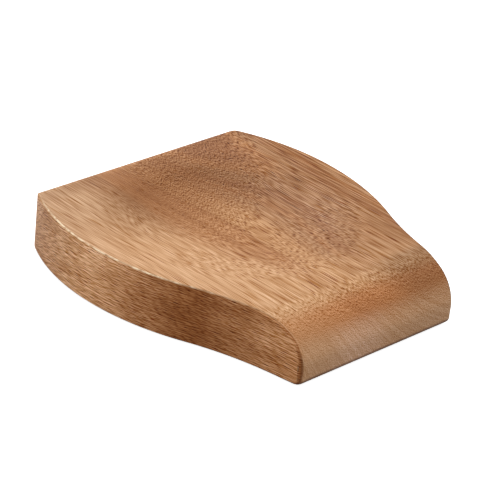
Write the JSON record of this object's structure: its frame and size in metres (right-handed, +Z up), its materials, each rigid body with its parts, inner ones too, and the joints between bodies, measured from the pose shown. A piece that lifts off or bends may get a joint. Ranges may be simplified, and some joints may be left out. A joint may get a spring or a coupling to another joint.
{
  "type": "utensil rest",
  "caption": "Countertop utensil rest: a waisted wood block with a shallow round dish in its top, a narrow end that rolls down to the counter, and non-slip pads under its flat base.",
  "frame": {"origin": "on the surface the rest stands on, below the middle of its length and width", "axes": "+X along the length from the wide end to the narrow rolled end, +Y to the far side, +Z up"},
  "size_m": [0.127, 0.117, 0.0223],
  "materials": {
    "oiled_wood": "satin oil on open-pored acacia",
    "silicone": "matte"
  },
  "bodies": {
    "root": {"rest_body": "oiled_wood", "foot_pad_wide_near": "silicone", "foot_pad_wide_far": "silicone", "foot_pad_narrow_near": "silicone", "foot_pad_narrow_far": "silicone"}
  },
  "joints": []
}
